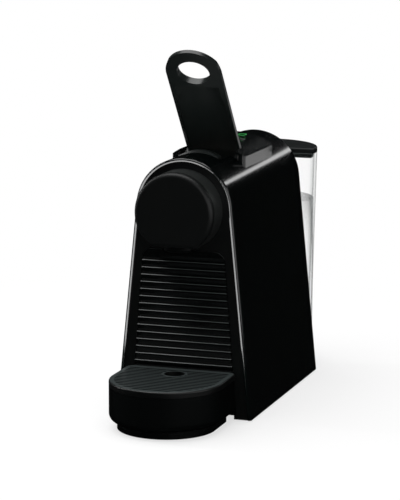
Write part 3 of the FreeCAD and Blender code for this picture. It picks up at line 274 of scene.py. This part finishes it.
def smooth(piece):
    piece.data.polygons.foreach_set("use_smooth", np.ones(len(piece.data.polygons), bool))
    piece.data.update()


# water in the tank: level, wall left round it, raised rim, rounded foot, slope down to the flat top, columns
waterLook = {
    "levelMm": 142.0, "wallMm": 2.7, "meniscusMm": 0.6, "footShare": 0.9, "footMm": 2.0,
    "slopeShare": 0.985, "slopeMm": 0.1, "flatShare": 0.95, "columns": 96, "frontColumns": 16,
    "colour": "#59625f", "roughness": 0.05, "ior": 1.33, "alpha": 0.01, "edgeAlpha": 0.7, "edgePower": 8.0}


# plan: straight front, then x = halfX cos(t), y = straight + depth sin(t) for the sides and the back
def dOutline(low, high, look):
    middleX = (low.x + high.x) / 2
    halfX = (high.x - low.x) / 2
    straight = max(high.y - low.y - halfX, 0)
    depth = high.y - low.y - straight
    frontColumns = look["frontColumns"]
    turn = np.linspace(0, math.pi, look["columns"] - frontColumns)
    back = np.stack([middleX + halfX * np.cos(turn), low.y + straight + depth * np.sin(turn)], axis=1)
    across = np.linspace(middleX - halfX, middleX + halfX, frontColumns + 2)[1:-1]
    front = np.stack([across, np.full(frontColumns, low.y)], axis=1)
    return np.concatenate([back, front])


# each step is a share of the outline about its middle and a height: floor, foot, wall, rim, slope, flat top
def makeWater(look):
    low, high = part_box("water_tank")
    inset = look["wallMm"] * mm
    low = low + Vector((inset, inset, inset))
    high = high - Vector((inset, inset, 0))
    outline = dOutline(low, high, look)
    middle = outline.mean(axis=0)
    level = look["levelMm"] * mm
    rim = level + look["meniscusMm"] * mm
    foot = low.z + look["footMm"] * mm
    slope = level + look["slopeMm"] * mm
    steps = (
        (0.0, low.z), (look["footShare"], low.z), (1.0, foot), (1.0, rim),
        (look["slopeShare"], slope), (look["flatShare"], level), (0.0, level))
    rings = []
    for share, z in steps:
        plan = middle + (outline - middle) * share
        rings.append(np.column_stack([plan, np.full(len(plan), z)]))
    piece = gridMesh("tank_water", np.stack(rings), wrap=True)
    piece.data.materials.append(clearMaterial("still water", look))
    smooth(piece)
    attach(piece, "tank")
    return piece


makeWater(waterLook)
print("water in the tank")


# lit rings on the two buttons, a short one for the small cup and a longer one for the large
signLook = {
    "halfXMm": 3.4, "halfYMm": 4.6, "lineMm": 0.5, "liftMm": 0.05, "sinkMm": 0.3, "columns": 48,
    "colour": "#2f9a4a", "roughness": 0.4, "power": 0.3}


# moulded diffuser lit from below: an even, weak green glow
def litMaterial(look):
    material = emptyMaterial("lit green diffuser")
    tree = material.node_tree
    shader = addNode(tree, "ShaderNodeBsdfPrincipled", values={
        "Base Color": linearColour(look["colour"]), "Roughness": look["roughness"],
        "Emission Color": linearColour(look["colour"]), "Emission Strength": look["power"]})
    addNode(tree, "ShaderNodeOutputMaterial", links={"Surface": shader.outputs["BSDF"]})
    return material


# ring between two superellipses |x/a|^4 + |y/b|^4 = 1: x = a sqrt|cos t|, y = b sqrt|sin t|, signs kept
def makeSign(name, button, body, stretch, look, material):
    low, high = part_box(button)
    turn = np.linspace(0, 2 * math.pi, look["columns"], endpoint=False)
    shape = np.stack([np.cos(turn), np.sin(turn)], axis=1)
    shape = np.sign(shape) * np.sqrt(np.abs(shape))
    outer = np.array([look["halfXMm"], look["halfYMm"] * stretch]) * mm
    inner = outer - look["lineMm"] * mm
    middle = np.array([(low.x + high.x) / 2, (low.y + high.y) / 2])
    base = high.z - look["sinkMm"] * mm
    top = high.z + look["liftMm"] * mm
    rings = [(inner, base), (inner, top), (outer, top), (outer, base), (inner, base)]
    points = np.stack([
        np.column_stack([middle + shape * size, np.full(len(turn), z)]) for size, z in rings])
    piece = gridMesh(name, points[:, ::-1], wrap=True)
    piece.data.materials.append(material)
    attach(piece, body)
    return piece


signGreen = litMaterial(signLook)
makeSign("espresso_sign", "espresso_button", "espresso_key", 0.75, signLook, signGreen)
makeSign("lungo_sign", "lungo_button", "lungo_key", 1.0, signLook, signGreen)
print("button signs")


# white studio: camera and transmitted rays see white, mirrored rays a dim room, the rest a soft ambient
studioLook = {
    "ambient": 0.35, "mirrored": 0.005, "floorColour": "#f2f2f2", "floorSizeM": 8.0, "floorDropMm": 0.2,
    "shadowNearM": 0.12, "shadowFarM": 0.5, "shadowShare": 0.35}


def makeWorld(look):
    world = bpy.data.worlds.new("white studio")
    bpy.context.scene.world = world
    world.use_nodes = True
    tree = world.node_tree
    tree.nodes.clear()
    path = addNode(tree, "ShaderNodeLightPath")
    seen = addNode(
        tree, "ShaderNodeMath", {"operation": "MAXIMUM"},
        links={0: path.outputs["Is Camera Ray"], 1: path.outputs["Is Transmission Ray"]})
    mirrored = addNode(
        tree, "ShaderNodeMix", {"data_type": "FLOAT"},
        values={"A": look["ambient"], "B": look["mirrored"]}, links={"Factor": path.outputs["Is Glossy Ray"]})
    level = addNode(
        tree, "ShaderNodeMix", {"data_type": "FLOAT"},
        values={"B": 1.0}, links={"Factor": seen.outputs["Value"], "A": mirrored.outputs["Result"]})
    light = addNode(
        tree, "ShaderNodeBackground", values={"Color": white}, links={"Strength": level.outputs["Result"]})
    addNode(tree, "ShaderNodeOutputWorld", links={"Surface": light.outputs["Background"]})


def makeFloor(look):
    half = look["floorSizeM"] / 2
    side = np.linspace(-half, half, 3)
    x, y = np.meshgrid(side, side)
    floor = gridMesh("floor", np.stack([x, y, np.full_like(x, -look["floorDropMm"] * mm)], axis=-1))
    material = emptyMaterial("pale paper sweep")
    tree = material.node_tree
    path = addNode(tree, "ShaderNodeLightPath")
    seen = addNode(
        tree, "ShaderNodeMath", {"operation": "MAXIMUM"},
        links={0: path.outputs["Is Camera Ray"], 1: path.outputs["Is Transmission Ray"]})
    place = addNode(tree, "ShaderNodeTexCoord")
    reach = addNode(
        tree, "ShaderNodeVectorMath", {"operation": "LENGTH"}, links={0: place.outputs["Object"]})
    # lit paper close to the machine keeps its shadow and fades to plain white further out
    fade = addNode(
        tree, "ShaderNodeMapRange",
        values={
            "From Min": look["shadowNearM"], "From Max": look["shadowFarM"],
            "To Min": 1 - look["shadowShare"], "To Max": 1.0},
        links={"Value": reach.outputs["Value"]})
    share = addNode(
        tree, "ShaderNodeMath", {"operation": "MULTIPLY"},
        links={0: seen.outputs["Value"], 1: fade.outputs["Result"]})
    paper = addNode(tree, "ShaderNodeBsdfDiffuse", values={"Color": linearColour(look["floorColour"])})
    plain = addNode(tree, "ShaderNodeEmission", values={"Color": white, "Strength": 1.0})
    dim = addNode(tree, "ShaderNodeEmission", values={"Color": white, "Strength": look["mirrored"]})
    paperOrRoom = addNode(
        tree, "ShaderNodeMixShader",
        links={0: path.outputs["Is Glossy Ray"], 1: paper.outputs["BSDF"], 2: dim.outputs["Emission"]})
    mixed = addNode(
        tree, "ShaderNodeMixShader",
        links={0: share.outputs["Value"], 1: paperOrRoom.outputs["Shader"], 2: plain.outputs["Emission"]})
    addNode(tree, "ShaderNodeOutputMaterial", links={"Surface": mixed.outputs["Shader"]})
    floor.data.materials.append(material)


makeWorld(studioLook)
makeFloor(studioLook)
print("world and floor")


# softboxes: place, aim, size across and up in metres, watts; only names the nodes that a lamp lights
lampLooks = {
    "topSoftbox": {
        "at": (-0.25, -0.1, 1.9), "aim": (0, -0.02, 0.1), "size": (1.9, 1.9), "watts": 36.0},
    "frontFill": {
        "at": (0.9, -1.8, 0.9), "aim": (0, -0.05, 0.12), "size": (0.8, 0.8), "watts": 5.0},
    "shoulderStrip": {
        "at": (0.42, 1.35, 0.50), "aim": (0.03, 0.02, 0.18), "size": (1.3, 0.055), "watts": 0.62},
    "leftStrip": {
        "at": (-0.9, -0.1, 0.5), "aim": (-0.04, -0.08, 0.12), "size": (0.08, 0.9), "watts": 3.0},
    "coverSnoot": {
        "at": (0.19, 0.49, 0.10), "aim": (0.03, 0.015, 0.19), "size": (0.3, 0.15), "watts": 0.1,
        "only": ("control_cover", "lever_handle")},
    "edgeStrip": {
        "at": (-0.124, -0.3, 0.1), "aim": (-0.124, 0.0, 0.1), "size": (0.4, 0.24), "watts": 2.4,
        "only": ("outer_shell",)},
}


def makeLamp(name, look):
    light = bpy.data.lights.new(name, "AREA")
    light.shape = "RECTANGLE"
    light.size, light.size_y = look["size"]
    light.energy = look["watts"]
    lamp = bpy.data.objects.new(name, light)
    bpy.context.collection.objects.link(lamp)
    lamp.visible_camera = False
    if "only" in look:
        lit = bpy.data.collections.new(name + "Lights")
        for node in look["only"]:
            lit.objects.link(nodes[node])
        lamp.light_linking.receiver_collection = lit
    lamp.location = look["at"]
    lamp.rotation_euler = (Vector(look["aim"]) - Vector(look["at"])).to_track_quat("-Z", "Y").to_euler()


# a white card standing at the right that only mirrored rays see: corner and sides in metres, brightness
cardLook = {"corner": (0.8, -1.5, 0.0), "along": (0, 1.7, 0), "up": (0, 0, 0.6), "level": 1.4}


def makeCard(name, look):
    corner, along, up = (np.array(look[part]) for part in ("corner", "along", "up"))
    card = gridMesh(name, np.array([[corner, corner + along], [corner + up, corner + along + up]]))
    material = emptyMaterial("white foam card")
    tree = material.node_tree
    glow = addNode(tree, "ShaderNodeEmission", values={"Color": white, "Strength": look["level"]})
    addNode(tree, "ShaderNodeOutputMaterial", links={"Surface": glow.outputs["Emission"]})
    card.data.materials.append(material)
    card.visible_camera = False
    card.visible_diffuse = False
    card.visible_shadow = False
    card.visible_transmission = False


makeCard("rightCard", cardLook)
for name, look in lampLooks.items():
    makeLamp(name, look)
print("lamps:", ", ".join(lampLooks))


# camera: where the photograph was taken from, fitted to the machine's edges
cameraLook = {
    "at": (0.5588, -1.7060, 0.4415), "azimuthDeg": 18.55, "downDeg": 10.26, "rollDeg": 0.13,
    "lensMm": 164.8, "sensorMm": 36.0}


def makeCamera(look):
    data = bpy.data.cameras.new("photo camera")
    data.lens = look["lensMm"]
    data.sensor_width = look["sensorMm"]
    camera = bpy.data.objects.new("photo camera", data)
    bpy.context.collection.objects.link(camera)
    turn = Matrix.Rotation(math.radians(look["azimuthDeg"]), 4, "Z")
    tilt = Matrix.Rotation(math.radians(90 - look["downDeg"]), 4, "X")
    roll = Matrix.Rotation(math.radians(look["rollDeg"]), 4, "Z")
    camera.matrix_world = Matrix.Translation(look["at"]) @ turn @ tilt @ roll
    bpy.context.scene.camera = camera


makeCamera(cameraLook)
bpy.context.scene.view_settings.view_transform = "Standard"
print("camera")
